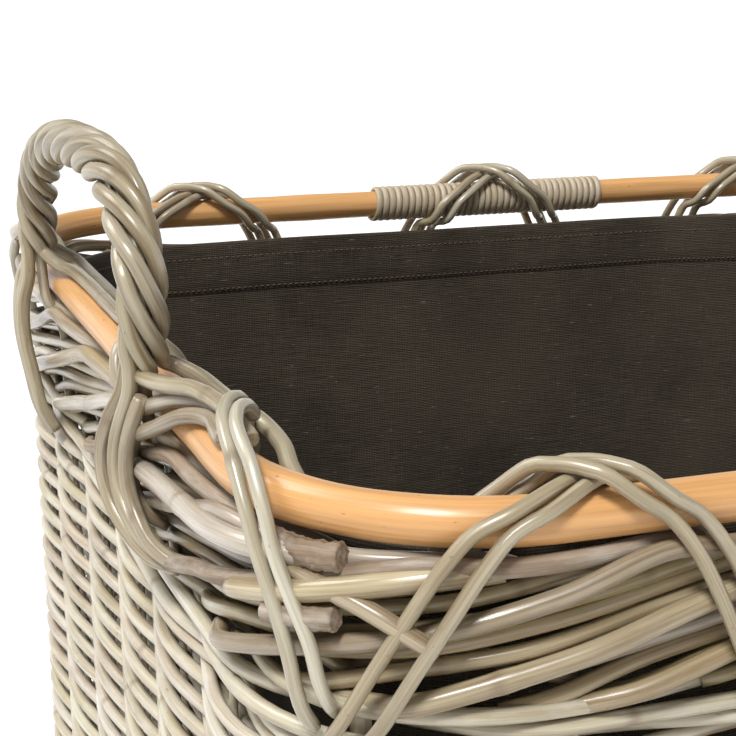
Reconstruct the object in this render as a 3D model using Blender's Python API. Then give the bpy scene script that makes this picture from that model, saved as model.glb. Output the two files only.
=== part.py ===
"""Wicker log basket: rounded rectangle in plan, with a rim pole, two rope handles and a lift-out liner.

Metres, +Z up, length along X, the front at -Y. The origin is under the middle of the basket, on the floor.
Most pieces are laid out on the rim line: s runs along the pole's centre line, counterclockwise from the
middle of the front, n is the distance outward from it and z is the height.
"""
import math

import bmesh
import bpy
from mathutils import Vector

# rim pole
RIM_HALF_LENGTH = 0.282
RIM_HALF_DEPTH = 0.265
RIM_CORNER_RADIUS = 0.076
RIM_HEIGHT = 0.385
POLE_RADIUS = 0.0075
SCARF_HALF_LENGTH = 0.028
BINDING_HALF_LENGTH = 0.075
BINDING_RADIUS = 0.0105

# woven wall
WALL_HALF_THICKNESS = 0.0065
WALL_TAPER = 0.006
FOOT_HEIGHT = 0.030
FOOT_EXTRA = 0.0012
WALE_EXTRA = 0.0010
SIDING_TOP = 0.306
WALE_TOP = 0.3295
BORDER_INNER = -0.006
BORDER_OUTER = 0.012
BORDER_COURSE_HEIGHT = 0.0131
BORDER_ROUNDING = 0.0035
POST_RADIUS = 0.0035
POST_TOP_COVER = 0.004

# base
BASE_STICK_RADIUS = 0.0046
BASE_STICK_HEIGHT = 0.0090
BASE_STICK_SPACING = 0.150
FLOOR_THICKNESS = 0.009

# rim loops and corner straps
LOOP_RADIUS = 0.0023
LOOP_SPACING_FRONT = 0.200
LOOP_SPACING_BACK = 0.178
LOOP_PAIR_SHIFT = 0.005

# handles
HANDLE_SHIFT = 0.006
HANDLE_FOOT = 0.107
CORE_RADIUS = 0.0024
TWIST_RADIUS = 0.0064
STRAND_RADIUS = 0.0024
STRANDS = 5
TWIST_STEPS = 17
TWIST_EASE = -0.20
TWIST_START = 0.0150

# liner
LINER_OUTER = -0.0165
LINER_THICKNESS = 0.0018
LINER_TOP = 0.3695
LINER_DRAFT = 0.004
HEM_HEIGHT = 0.027
HEM_THICKNESS = 0.0012

GAP = 0.0003

RATTAN = (0.55, 0.50, 0.40)
HONEY = (0.66, 0.40, 0.20)
CANE = (0.40, 0.35, 0.27)
CLOTH = (0.05, 0.04, 0.035)

STRAIGHT_X = 2 * (RIM_HALF_LENGTH - RIM_CORNER_RADIUS)
STRAIGHT_Y = 2 * (RIM_HALF_DEPTH - RIM_CORNER_RADIUS)
CORNER_ARC = math.pi * RIM_CORNER_RADIUS / 2
RIM_PERIMETER = 2 * (STRAIGHT_X + STRAIGHT_Y + 2 * CORNER_ARC)
S_RIGHT = STRAIGHT_X / 2 + CORNER_ARC + STRAIGHT_Y / 2
S_BACK = RIM_PERIMETER / 2
S_LEFT = RIM_PERIMETER - S_RIGHT


def clear_scene():
    for thing in list(bpy.data.objects):
        bpy.data.objects.remove(thing, do_unlink=True)


def material(name, colour, roughness):
    mat = bpy.data.materials.new(name)
    mat.use_nodes = True
    shader = mat.node_tree.nodes["Principled BSDF"]
    shader.inputs["Base Color"].default_value = (*colour, 1.0)
    shader.inputs["Roughness"].default_value = roughness
    mat.diffuse_color = (*colour, 1.0)
    return mat


def add_object(name, bm, colour, roughness=0.7):
    bmesh.ops.recalc_face_normals(bm, faces=bm.faces)
    mesh = bpy.data.meshes.new(name)
    bm.to_mesh(mesh)
    bm.free()
    mesh.shade_smooth()
    mesh.set_sharp_from_angle(angle=math.radians(50))
    obj = bpy.data.objects.new(name, mesh)
    bpy.context.scene.collection.objects.link(obj)
    mesh.materials.append(material(name, colour, roughness))
    return obj


def rim_point(s):
    """Point and outward direction of the rim line at the distance s."""
    s = s % RIM_PERIMETER
    half_x = STRAIGHT_X / 2
    half_y = STRAIGHT_Y / 2
    r = RIM_CORNER_RADIUS
    sides = (
        (half_x, (0, -half_y - r), (1, 0), (half_x, -half_y), -90),
        (STRAIGHT_Y, (half_x + r, -half_y), (0, 1), (half_x, half_y), 0),
        (STRAIGHT_X, (half_x, half_y + r), (-1, 0), (-half_x, half_y), 90),
        (STRAIGHT_Y, (-half_x - r, half_y), (0, -1), (-half_x, -half_y), 180),
        (half_x, (-half_x, -half_y - r), (1, 0), (0, 0), 0),
    )
    for length, start, along, centre, angle in sides:
        if s <= length:
            point = Vector((start[0] + along[0] * s, start[1] + along[1] * s, 0))
            return point, Vector((along[1], -along[0], 0))
        s -= length
        if s <= CORNER_ARC:
            turn = math.radians(angle) + s / r
            out = Vector((math.cos(turn), math.sin(turn), 0))
            return Vector((centre[0], centre[1], 0)) + out * r, out
        s -= CORNER_ARC
    raise ValueError("rim distance out of range")


def at(s, n, z):
    """World point from rim coordinates; z is an absolute height."""
    point, out = rim_point(s)
    return point + out * n + Vector((0, 0, z))


def rim_samples(per_corner, per_side):
    """Distances along the rim: the straight sides are cut in per_side parts, the corners in per_corner."""
    samples = []
    start = -STRAIGHT_X / 2
    for side in (STRAIGHT_X, STRAIGHT_Y, STRAIGHT_X, STRAIGHT_Y):
        samples += [start + side * k / per_side for k in range(per_side)]
        start += side
        samples += [start + CORNER_ARC * k / per_corner for k in range(per_corner)]
        start += CORNER_ARC
    return samples


def taper(z):
    """How far the wall stands inward at the height z."""
    return -WALL_TAPER * (1 - z / RIM_HEIGHT)


def skin(bm, rings, closed):
    """Faces between rings of equal length; closed joins the last ring to the first."""
    count = len(rings)
    for k in range(count if closed else count - 1):
        a = rings[k]
        b = rings[(k + 1) % count]
        for i in range(len(a)):
            j = (i + 1) % len(a)
            bm.faces.new((a[i], a[j], b[j], b[i]))
    if not closed:
        bm.faces.new(rings[0])
        bm.faces.new(rings[-1])


def band(name, profile, colour, per_corner=5, per_side=2):
    """Closed profile of (n, z) points swept once around the basket."""
    bm = bmesh.new()
    rings = []
    for s in rim_samples(per_corner, per_side):
        rings.append([bm.verts.new(at(s, n, z)) for n, z in profile])
    skin(bm, rings, True)
    return add_object(name, bm, colour)


def smooth_path(points, steps):
    """Catmull-Rom curve through the points, read at steps places on each span."""
    pts = [Vector(p) for p in points]
    pts = [2 * pts[0] - pts[1]] + pts + [2 * pts[-1] - pts[-2]]
    path = []
    for k in range(1, len(pts) - 2):
        p0, p1, p2, p3 = pts[k - 1:k + 3]
        for i in range(steps):
            t = i / steps
            path.append(0.5 * (2 * p1 + (p2 - p0) * t + (2 * p0 - 5 * p1 + 4 * p2 - p3) * t * t
                               + (3 * p1 - p0 - 3 * p2 + p3) * t * t * t))
    path.append(pts[-2])
    return path


def tube(bm, path, radius, sides):
    """Round rod along a list of world points, closed at both ends."""
    tangents = []
    for k in range(len(path)):
        ahead = path[min(k + 1, len(path) - 1)]
        behind = path[max(k - 1, 0)]
        tangents.append((ahead - behind).normalized())
    side = tangents[0].orthogonal().normalized()
    rings = []
    for point, tangent in zip(path, tangents):
        side = (side - tangent * side.dot(tangent)).normalized()
        other = tangent.cross(side)
        ring = []
        for i in range(sides):
            turn = 2 * math.pi * i / sides
            ring.append(bm.verts.new(point + (side * math.cos(turn) + other * math.sin(turn)) * radius))
        rings.append(ring)
    skin(bm, rings, False)


def rod(name, path, radius, sides, colour):
    bm = bmesh.new()
    tube(bm, path, radius, sides)
    return add_object(name, bm, colour)


def cut(target, paths, radius, sides):
    """Bores the target along each path."""
    bm = bmesh.new()
    for path in paths:
        tube(bm, path, radius, sides)
    cutter = add_object("cutter", bm, RATTAN)
    mod = target.modifiers.new("bore", "BOOLEAN")
    mod.operation = "DIFFERENCE"
    mod.solver = "EXACT"
    mod.object = cutter
    graph = bpy.context.evaluated_depsgraph_get()
    bored = bpy.data.meshes.new_from_object(target.evaluated_get(graph))
    target.modifiers.clear()
    target.data = bored
    bpy.data.objects.remove(cutter, do_unlink=True)


def rim_pole():
    """Thick rattan pole bent into one hoop; its two ends are cut on a long slant and meet at the back."""
    bm = bmesh.new()
    ends = SCARF_HALF_LENGTH + 0.006
    middle = [s for s in rim_samples(8, 2) if abs(s - S_BACK) > ends]
    after = sorted(s for s in middle if s > S_BACK)
    before = sorted(s + RIM_PERIMETER for s in middle if s < S_BACK)
    stations = [S_BACK + GAP] + [S_BACK + ends] + after + before + [S_BACK + RIM_PERIMETER - ends]
    stations.append(S_BACK + RIM_PERIMETER - GAP)
    rings = []
    sides = 8
    for k, s in enumerate(stations):
        ring = []
        for i in range(sides):
            turn = 2 * math.pi * (i + 0.5) / sides
            slant = SCARF_HALF_LENGTH * math.sin(turn) if k in (0, len(stations) - 1) else 0
            n = POLE_RADIUS * math.cos(turn)
            z = RIM_HEIGHT + POLE_RADIUS * math.sin(turn)
            ring.append(bm.verts.new(at(s + slant, n, z)))
        rings.append(ring)
    skin(bm, rings, False)
    return add_object("rim_pole", bm, HONEY, 0.45)


def splice_binding():
    """Split cane wound round the two pole ends: a sleeve open at both ends."""
    bm = bmesh.new()
    half = BINDING_HALF_LENGTH
    inner = POLE_RADIUS + GAP
    profile = ((-half, inner), (half, inner), (half, BINDING_RADIUS), (-half, BINDING_RADIUS))
    rings = []
    sides = 12
    for i in range(sides):
        turn = 2 * math.pi * i / sides
        ring = []
        for s, r in profile:
            ring.append(bm.verts.new(at(S_BACK + s, r * math.cos(turn), RIM_HEIGHT + r * math.sin(turn))))
        rings.append(ring)
    skin(bm, rings, True)
    return add_object("splice_binding", bm, CANE)


def loop_path(centre, pair, shift, clear):
    """One strand of a rim loop: up the outside, over the pole and down between the pole and the border.

    pair is 1 for a strand that rises to the right and -1 for one that rises to the left, on top of the first.
    clear is the radius of what the strand passes over.
    """
    low = clear + GAP + LOOP_RADIUS + 0.0006
    points = [(-0.065, 0.0112, -0.0680), (-0.059, 0.0146, -0.0580), (-0.052, 0.0153, -0.0430)]
    points += [(-0.042, 0.0153, -0.0220), (-0.035, 0.0134, -0.0090)]
    for angle in (0, 30, 60, 75, 90, 105, 120, 150, 180):
        lift = 0.0
        if pair < 0:
            lift = (2 * LOOP_RADIUS + GAP) * min(1.0, max(0.0, (62 - abs(angle - 90)) / 30))
        reach = low + lift
        turn = math.radians(angle)
        points.append((0.028 * (angle - 90) / 90, reach * math.cos(turn), reach * math.sin(turn)))
    points.append((0.034, -0.78 * low, -0.72 * low))
    points.append((0.039, -0.0030, -0.0114 - (clear - POLE_RADIUS) * 0.4))
    return [at(centre + pair * s + shift, n, RIM_HEIGHT + z) for s, n, z in points]


def rim_loops():
    """Six crossed loops of two and two strands tie the pole to the border."""
    for side, middle, spacing in (("front", 0.0, LOOP_SPACING_FRONT), ("back", S_BACK, LOOP_SPACING_BACK)):
        for number in (-1, 0, 1):
            clear = BINDING_RADIUS if side == "back" and number == 0 else POLE_RADIUS
            for pair, letter in ((1, "a"), (-1, "b")):
                for k in (0, 1):
                    shift = (2 * k - 1) * LOOP_PAIR_SHIFT
                    path = loop_path(middle + number * spacing, pair, shift, clear)
                    name = "loop_%s_%d_%s%d" % (side, number + 2, letter, k + 1)
                    rod(name, path, LOOP_RADIUS, 5, RATTAN)


def corner_straps():
    """One strand over the pole at each corner, from inside the rim down the outside of the border.

    At two corners it also passes over the handle strands that lie on the pole, so it stands higher.
    """
    corners = (
        ("front_left", S_LEFT + STRAIGHT_Y / 2, 1, 0.0095),
        ("front_right", S_RIGHT - STRAIGHT_Y / 2, -1, 0.0),
        ("back_right", S_RIGHT + STRAIGHT_Y / 2, 1, 0.0095),
        ("back_left", S_LEFT - STRAIGHT_Y / 2, -1, 0.0),
    )
    low = POLE_RADIUS + GAP + LOOP_RADIUS + 0.0004
    for name, start, sense, lift in corners:
        points = [(-0.024, -0.0030, -0.0116), (-0.020, -0.0084 - lift * 0.1, -0.0072)]
        shares = ((180, 0.05), (155, 0.3), (130, 0.75), (105, 1.0), (80, 1.0), (55, 0.7), (30, 0.3), (0, 0.1))
        for angle, share in shares:
            turn = math.radians(angle)
            reach = low + lift * share
            along = -0.016 + 0.043 * (1 - angle / 180) ** 2
            points.append((along, reach * math.cos(turn), reach * math.sin(turn)))
        points += [(0.0345, 0.0138, -0.0100), (0.0405, 0.0156, -0.0230), (0.0460, 0.0156, -0.0400)]
        points += [(0.0485, 0.0153, -0.0520), (0.0498, 0.0142, -0.0590), (0.0508, 0.0112, -0.0655)]
        path = [at(start + sense * s, n, RIM_HEIGHT + z) for s, n, z in points]
        rod("strap_" + name, path, LOOP_RADIUS, 5, RATTAN)


def handle_line(front):
    """Middle line of a handle above the pole, as (s, n, z) from its +s foot to its -s foot.

    The handle leans to the front of the basket; front is 1 where the front is on its +s side, else -1.
    """
    arch = [(0.1085, TWIST_START), (0.1125, 0.0250), (0.1165, 0.0380), (0.1170, 0.0500), (0.1100, 0.0620)]
    arch += [(0.0985, 0.0715), (0.0835, 0.0775), (0.0625, 0.0805), (0.0325, 0.0805), (-0.0035, 0.0785)]
    arch += [(-0.0365, 0.0735), (-0.0665, 0.0640), (-0.0860, 0.0530), (-0.1010, 0.0385), (-0.1065, 0.0250)]
    arch += [(-0.1085, TWIST_START)]
    if front < 0:
        arch = [(-s, z) for s, z in reversed(arch)]
    line = smooth_path([(s, 0.0110 + 0.06 * z, z) for s, z in arch], 16)
    lengths = [0.0]
    for a, b in zip(line, line[1:]):
        lengths.append(lengths[-1] + (b - a).length)
    return line, lengths


def along(line, lengths, distance):
    """Point of the line at a distance from its start."""
    for k in range(len(line) - 1):
        if distance <= lengths[k + 1] or k == len(line) - 2:
            t = (distance - lengths[k]) / (lengths[k + 1] - lengths[k])
            return line[k].lerp(line[k + 1], t)


def core_path(middle, front):
    """The handle's core: up from the wall beside the pole, along the handle and down again."""
    line, lengths = handle_line(front)
    foot = [(0.1040, 0.0020, -0.0760), (0.1045, 0.0038, -0.0500), (0.1055, 0.0066, -0.0250)]
    foot += [(0.1060, 0.0095, -0.0080), (HANDLE_FOOT, 0.0108, 0.0040)]
    count = 26
    points = list(foot)
    points += [tuple(along(line, lengths, lengths[-1] * k / count)) for k in range(count + 1)]
    points += [(-s, n, z) for s, n, z in reversed(foot)]
    return [at(middle + s, n, RIM_HEIGHT + z) for s, n, z in points]


def tail(foot, role):
    """The end of a strand below the twist; role is its turn round the core, in fifths, from outward to +s.

    The three outer strands run down the outside of the border. The two inner ones run along the top of the
    pole, towards the next strap from one foot and below the handle from the other, and are tucked in under it.
    """
    tails = {
        0.5: [(0.0036, 0.0166, 0.0020), (0.0044, 0.0162, -0.0160), (0.0080, 0.0158, -0.0400),
              (0.0108, 0.0153, -0.0570), (0.0130, 0.0118, -0.0690)],
        -0.5: [(-0.0030, 0.0166, 0.0020), (-0.0024, 0.0162, -0.0160), (0.0006, 0.0158, -0.0400),
               (0.0034, 0.0153, -0.0580), (0.0056, 0.0118, -0.0710)],
        -1.5: [(-0.0090, 0.0130, 0.0020), (-0.0092, 0.0158, -0.0160), (-0.0068, 0.0158, -0.0400),
               (-0.0040, 0.0153, -0.0590), (-0.0018, 0.0118, -0.0730)],
    }
    if role == 1.5:
        run = 0.045 if foot > 0 else 0.150
        points = [(0.0150, 0.0056, 0.0110), (0.0300, 0.0020, 0.0112), (run, 0.0010, 0.0112)]
        points += [(run + 0.0090, 0.0088, 0.0068), (run + 0.0140, 0.0110, 0.0)]
        points += [(run + 0.0180, 0.0092, -0.0068), (run + 0.0215, 0.0030, -0.0118)]
    elif role == 2.5:
        run = 0.110 if foot > 0 else 0.165
        points = [(0.0040, -0.0034, 0.0114), (0.0160, -0.0054, 0.0097), (0.0350, -0.0054, 0.0097)]
        points += [(0.035 + (run - 0.035) * k / 5, -0.0054, 0.0097) for k in range(1, 6)]
        points += [(run + 0.0100, -0.0092, 0.0062), (run + 0.0160, -0.0110, 0.0002)]
        points += [(run + 0.0210, -0.0092, -0.0066), (run + 0.0250, -0.0030, -0.0118)]
    else:
        points = tails[role]
    return [(foot + s, n, z) for s, n, z in points]


def handle(side, middle, front):
    """Five strands twisted round a core; below the twist their ends are tucked over or beside the pole."""
    rod("handle_%s_core" % side, core_path(middle, front), CORE_RADIUS, 6, RATTAN)
    line, lengths = handle_line(front)
    total = lengths[-1]
    lean = Vector((0.0, 1.0, -0.06)).normalized()
    steps = 46
    for strand in range(STRANDS):
        twist = []
        first = math.radians(36) + 2 * math.pi * strand / STRANDS
        ends = []
        for k in range(steps + 1):
            distance = total * k / steps
            point = along(line, lengths, distance)
            tangent = (along(line, lengths, min(total, distance + 0.001))
                       - along(line, lengths, max(0.0, distance - 0.001))).normalized()
            # s, n, z is a left-handed triple, so the cross product changes sign
            across = -tangent.cross(lean)
            share = k / steps
            share -= TWIST_EASE * math.sin(2 * math.pi * share) / (2 * math.pi)
            turn = first - 2 * math.pi / STRANDS * TWIST_STEPS * share
            twist.append(point + (lean * math.cos(turn) + across * math.sin(turn)) * TWIST_RADIUS)
            if k in (0, steps):
                offset = twist[-1] - point
                ends.append(round(math.degrees(math.atan2(offset.x, offset.y)) / 72 * 2) / 2)
        roles = [end if end > -2.4 else 2.5 for end in ends]
        start = tail(HANDLE_FOOT, roles[0])
        finish = tail(-HANDLE_FOOT, roles[1])
        points = [Vector(p) for p in reversed(start)] + twist + [Vector(p) for p in finish]
        path = [at(middle + p.x, p.y, RIM_HEIGHT + p.z) for p in points]
        rod("handle_%s_strand_%d" % (side, strand + 1), path, STRAND_RADIUS, 5, RATTAN)


def wale_bands():
    """Foot wale, siding and top wale, the three woven bands of the wall."""
    half = WALL_HALF_THICKNESS
    pieces = (
        ("foot_wale", 0.0, FOOT_HEIGHT, half + FOOT_EXTRA),
        ("siding", FOOT_HEIGHT + GAP, SIDING_TOP, half),
        ("top_wale", SIDING_TOP + GAP, WALE_TOP, half + WALE_EXTRA),
    )
    made = []
    for name, low, high, thick in pieces:
        profile = [(taper(low) - thick, low), (taper(low) + thick, low)]
        profile += [(taper(high) + thick, high), (taper(high) - thick, high)]
        made.append(band(name, profile, RATTAN))
    return made


def border_courses():
    """The plaited border on top of the wall, as three rounded courses."""
    made = []
    low = WALE_TOP + GAP
    inner = BORDER_INNER
    outer = BORDER_OUTER
    soft = BORDER_ROUNDING
    for number in (1, 2, 3):
        high = low + BORDER_COURSE_HEIGHT
        profile = [(inner + soft, low), (outer - soft, low), (outer, low + soft), (outer, high - soft)]
        profile += [(outer - soft, high), (inner + soft, high), (inner, high - soft), (inner, low + soft)]
        made.append(band("border_course_%d" % number, profile, RATTAN))
        low = high + GAP
    return made


def corner_posts(bands):
    """A stout post at each corner, housed in the foot wale and held by the weave up to the top wale."""
    paths = []
    for k in range(4):
        s = (STRAIGHT_X + CORNER_ARC) / 2 + (k // 2) * RIM_PERIMETER / 2 + (k % 2) * (STRAIGHT_Y + CORNER_ARC)
        paths.append([at(s, taper(z), z) for z in (FOOT_HEIGHT / 2, WALE_TOP - POST_TOP_COVER)])
    bores = []
    for low, high in paths:
        step = (high - low).normalized() * GAP
        bores.append([low - step, high + step])
    for target in bands:
        cut(target, bores, POST_RADIUS + GAP, 8)
    for name, path in zip(("front_right", "back_right", "back_left", "front_left"), paths):
        rod("post_" + name, path, POST_RADIUS, 8, RATTAN)


def handle_sockets(targets):
    """Bores in the top wale and the border for the four ends of the handle cores."""
    bores = []
    for middle, front in ((S_LEFT + HANDLE_SHIFT, 1), (S_RIGHT - HANDLE_SHIFT, -1)):
        path = core_path(middle, front)
        for leg in (path[:5], path[:-6:-1]):
            first = leg[0] + (leg[0] - leg[1]).normalized() * GAP
            bores.append([first] + leg[1:])
    for target in targets:
        cut(target, bores, CORE_RADIUS + 2 * GAP, 6)


def base(foot):
    """Woven floor on three sticks whose ends are housed in the foot wale."""
    inside = -WALL_HALF_THICKNESS - FOOT_EXTRA + taper(0) - GAP
    bottom = BASE_STICK_HEIGHT + BASE_STICK_RADIUS + GAP
    bm = bmesh.new()
    rings = []
    for z in (bottom, bottom + FLOOR_THICKNESS):
        rings.append([bm.verts.new(at(s, inside, z)) for s in rim_samples(5, 2)])
    skin(bm, rings, False)
    add_object("base_weave", bm, RATTAN)
    reach = RIM_HALF_LENGTH + taper(BASE_STICK_HEIGHT) - 0.002
    paths = []
    for number in (-1, 0, 1):
        y = number * BASE_STICK_SPACING
        paths.append([Vector((x, y, BASE_STICK_HEIGHT)) for x in (-reach, reach)])
    bores = [[path[0] - Vector((GAP, 0, 0)), path[1] + Vector((GAP, 0, 0))] for path in paths]
    cut(foot, bores, BASE_STICK_RADIUS + GAP, 8)
    for number, path in enumerate(paths):
        rod("base_stick_%d" % (number + 1), path, BASE_STICK_RADIUS, 8, RATTAN)


def liner():
    """Loose cloth bag: a flat floor panel, one band round the sides and the hem sewn inside its top edge."""
    floor = BASE_STICK_HEIGHT + BASE_STICK_RADIUS + FLOOR_THICKNESS + 2 * GAP
    t = LINER_THICKNESS
    low = LINER_OUTER + taper(0) - LINER_DRAFT
    bm = bmesh.new()
    rings = []
    for z in (floor, floor + t):
        rings.append([bm.verts.new(at(s, low, z)) for s in rim_samples(5, 2)])
    skin(bm, rings, False)
    add_object("liner_floor", bm, CLOTH, 0.9)

    foot = floor + t + GAP
    side = [(low, foot), (LINER_OUTER, LINER_TOP), (LINER_OUTER - t, LINER_TOP), (low - t, foot)]
    band("liner_side", side, CLOTH)

    def face(z):
        return low - t + (LINER_OUTER - low) * (z - foot) / (LINER_TOP - foot) - GAP

    hem_foot = LINER_TOP - HEM_HEIGHT
    hem = [(face(hem_foot) - HEM_THICKNESS, hem_foot), (face(hem_foot), hem_foot)]
    hem += [(face(LINER_TOP), LINER_TOP), (face(LINER_TOP) - HEM_THICKNESS, LINER_TOP)]
    band("liner_hem", hem, CLOTH)


clear_scene()
rim_pole()
splice_binding()
wales = wale_bands()
courses = border_courses()
corner_posts(wales)
handle_sockets([wales[2]] + courses)
base(wales[0])
rim_loops()
corner_straps()
handle("left", S_LEFT + HANDLE_SHIFT, 1)
handle("right", S_RIGHT - HANDLE_SHIFT, -1)
liner()
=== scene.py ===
import math
import random

import bmesh
import bpy
from mathutils import Matrix, Vector, noise


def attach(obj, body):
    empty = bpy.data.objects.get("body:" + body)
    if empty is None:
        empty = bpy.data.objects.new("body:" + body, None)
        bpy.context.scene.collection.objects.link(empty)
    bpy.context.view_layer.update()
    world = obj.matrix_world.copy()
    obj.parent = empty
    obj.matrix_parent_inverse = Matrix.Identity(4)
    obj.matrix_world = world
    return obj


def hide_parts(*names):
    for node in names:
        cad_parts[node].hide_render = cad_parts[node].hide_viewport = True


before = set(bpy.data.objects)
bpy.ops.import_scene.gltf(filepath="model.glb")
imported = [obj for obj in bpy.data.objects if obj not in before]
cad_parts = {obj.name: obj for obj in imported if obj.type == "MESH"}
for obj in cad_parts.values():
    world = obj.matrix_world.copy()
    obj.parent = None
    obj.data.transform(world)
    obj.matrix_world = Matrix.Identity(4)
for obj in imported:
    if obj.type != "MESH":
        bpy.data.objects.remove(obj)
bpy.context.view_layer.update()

# ---------------------------------------------------------------------------
# The woven floor
# Plain weave of kubu cane on three stout sticks, with thinner sticks between them.
# Its ends are held in the foot wale, and the whole wall stands on it.
# ---------------------------------------------------------------------------
RIM_HALF_LENGTH = 0.282
RIM_HALF_DEPTH = 0.265
CORNER_RADIUS = 0.076
RIM_HEIGHT = 0.385
WALL_LEAN = 0.006
LONG_RUN = 2 * (RIM_HALF_LENGTH - CORNER_RADIUS)
SHORT_RUN = 2 * (RIM_HALF_DEPTH - CORNER_RADIUS)
CORNER_ARC = CORNER_RADIUS * math.pi / 2
ROUND = 2 * (LONG_RUN + SHORT_RUN) + 4 * CORNER_ARC
MIDDLE_RIGHT = LONG_RUN / 2 + CORNER_ARC + SHORT_RUN / 2
MIDDLE_BACK = ROUND / 2
MIDDLE_LEFT = ROUND - MIDDLE_RIGHT


def round_the_rim(s):
    """The point on the rim's middle line at a distance s from the middle of the front, and the way out."""
    s = s % ROUND
    half_x = LONG_RUN / 2
    half_y = SHORT_RUN / 2
    r = CORNER_RADIUS
    sides = (
        (half_x, (0, -half_y - r), (1, 0), (half_x, -half_y), -90),
        (SHORT_RUN, (half_x + r, -half_y), (0, 1), (half_x, half_y), 0),
        (LONG_RUN, (half_x, half_y + r), (-1, 0), (-half_x, half_y), 90),
        (SHORT_RUN, (-half_x - r, half_y), (0, -1), (-half_x, -half_y), 180),
        (half_x, (-half_x, -half_y - r), (1, 0), (0, 0), 0),
    )
    for length, start, along, centre, angle in sides:
        if s <= length + 1e-9:
            point = Vector((start[0] + along[0] * s, start[1] + along[1] * s, 0))
            return point, Vector((along[1], -along[0], 0))
        s -= length
        if s <= CORNER_ARC:
            turn = math.radians(angle) + s / r
            out = Vector((math.cos(turn), math.sin(turn), 0))
            return Vector((centre[0], centre[1], 0)) + out * r, out
        s -= CORNER_ARC
    return Vector((0, -half_y - r, 0)), Vector((0, -1, 0))


def place(s, n, z):
    """A point s along the rim, n outside its middle line and z above the floor."""
    point, out = round_the_rim(s)
    return point + out * n + Vector((0, 0, z))


def lean(z):
    """How far the wall stands in from the rim's line at a height, because it narrows to the foot."""
    return -WALL_LEAN * (1 - z / RIM_HEIGHT)


def smooth_route(points, step):
    """A smooth curve through the points, sampled about every step."""
    points = [Vector(p) for p in points]
    ends = [points[0] * 2 - points[1]] + points + [points[-1] * 2 - points[-2]]
    route = []
    for i in range(1, len(ends) - 2):
        a, b, c, d = ends[i - 1 : i + 3]
        count = max(1, round((c - b).length / step))
        for k in range(count):
            t = k / count
            route.append(
                0.5 * (2 * b + (c - a) * t + (2 * a - 5 * b + 4 * c - d) * t * t
                       + (3 * b - a - 3 * c + d) * t * t * t)
            )
    route.append(points[-1])
    return route


KNUCKLE_EVERY = 0.34
KNUCKLE_HALF = 0.0022


def lay_cane(bundle, route, radius, sides=8, tint=0.5, seed=0.0, flat=1.0, facing=None,
             knuckles=True, gnarl=0.0):
    """Draws one strand of cane out along its route: a capped ring, extruded from point to point.

    The strand keeps its own straightened grain coordinates and one tint. flat under 1 makes it
    a split strip that is thin towards facing. gnarl makes its bark lumpy."""
    cane = bmesh.new()
    grain = cane.verts.layers.float_vector.new("grain")
    tone = cane.verts.layers.float.new("tint")
    ring = bmesh.ops.create_circle(cane, cap_ends=True, radius=1.0, segments=sides)["verts"]
    for v in ring:
        v[tone] = tint
        v[grain] = Vector((0, v.co.x * radius, v.co.y * radius))
    rim = [e for e in cane.edges]
    along = seed
    before = Matrix.Identity(4)
    side = facing
    last = len(route) - 1
    for k, point in enumerate(route):
        ahead = route[min(k + 1, last)] - route[max(k - 1, 0)]
        ahead.normalize()
        if side is None:
            side = ahead.orthogonal()
        if callable(facing):
            side = facing(point)
        side = side - ahead * side.dot(ahead)
        side.normalize()
        across = ahead.cross(side)
        if k:
            along += (point - route[k - 1]).length
        swell = 1 + 0.035 * noise.noise(Vector((along * 40, seed * 7.3, 0.5)))
        if knuckles:
            off = (along % KNUCKLE_EVERY) - KNUCKLE_EVERY / 2
            swell += 0.07 * math.exp(-(off / KNUCKLE_HALF) ** 2)
        trim = 0.86 if k in (0, last) else 1.0
        here = Matrix.Identity(4)
        size = radius * swell * trim
        for row in range(3):
            here[row][0] = side[row] * size * flat
            here[row][1] = across[row] * size
            here[row][2] = ahead[row] * 0.001
            here[row][3] = point[row]
        if k:
            grown = bmesh.ops.extrude_edge_only(cane, edges=rim)["geom"]
            ring = [g for g in grown if isinstance(g, bmesh.types.BMVert)]
            rim = [g for g in grown if isinstance(g, bmesh.types.BMEdge)]
            rim = [e for e in rim if len(e.link_faces) == 1]
        bmesh.ops.transform(cane, matrix=here @ before.inverted(), verts=ring)
        for v in ring:
            v[grain].x = along
        before = here
    if gnarl:
        for v in cane.verts:
            middle = min(route, key=lambda p: (p - v.co).length)
            lump = noise.noise(v.co * 330) + 0.9 * noise.noise(v.co * 900)
            v.co += (v.co - middle) * gnarl * lump
    bmesh.ops.contextual_create(cane, geom=rim)
    bmesh.ops.recalc_face_normals(cane, faces=cane.faces)
    for face in cane.faces:
        face.smooth = len(face.verts) == 4 or sides == 4
    one = bpy.data.meshes.new("one_cane")
    cane.to_mesh(one)
    cane.free()
    bundle.from_mesh(one)
    bpy.data.meshes.remove(one)


def new_bundle():
    """An empty bundle that strands are laid into."""
    bundle = bmesh.new()
    bundle.verts.layers.float_vector.new("grain")
    bundle.verts.layers.float.new("tint")
    return bundle


def tie_off(bundle, name, finish, body, nodes):
    """Makes the bundle one piece of the basket, with its finish, and hides the plain solids it stands for."""
    mesh = bpy.data.meshes.new(name)
    bundle.to_mesh(mesh)
    bundle.free()
    mesh.materials.append(finish)
    piece = bpy.data.objects.new(name, mesh)
    bpy.context.scene.collection.objects.link(piece)
    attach(piece, body)
    if nodes:
        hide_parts(*nodes)
    return piece


def between(tree, value, low, high, to_low=0.0, to_high=1.0):
    """A value between low and high, spread over a new range."""
    span = tree.nodes.new("ShaderNodeMapRange")
    span.inputs["From Min"].default_value = low
    span.inputs["From Max"].default_value = high
    span.inputs["To Min"].default_value = to_low
    span.inputs["To Max"].default_value = to_high
    tree.links.new(value, span.inputs["Value"])
    return span.outputs["Result"]


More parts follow.
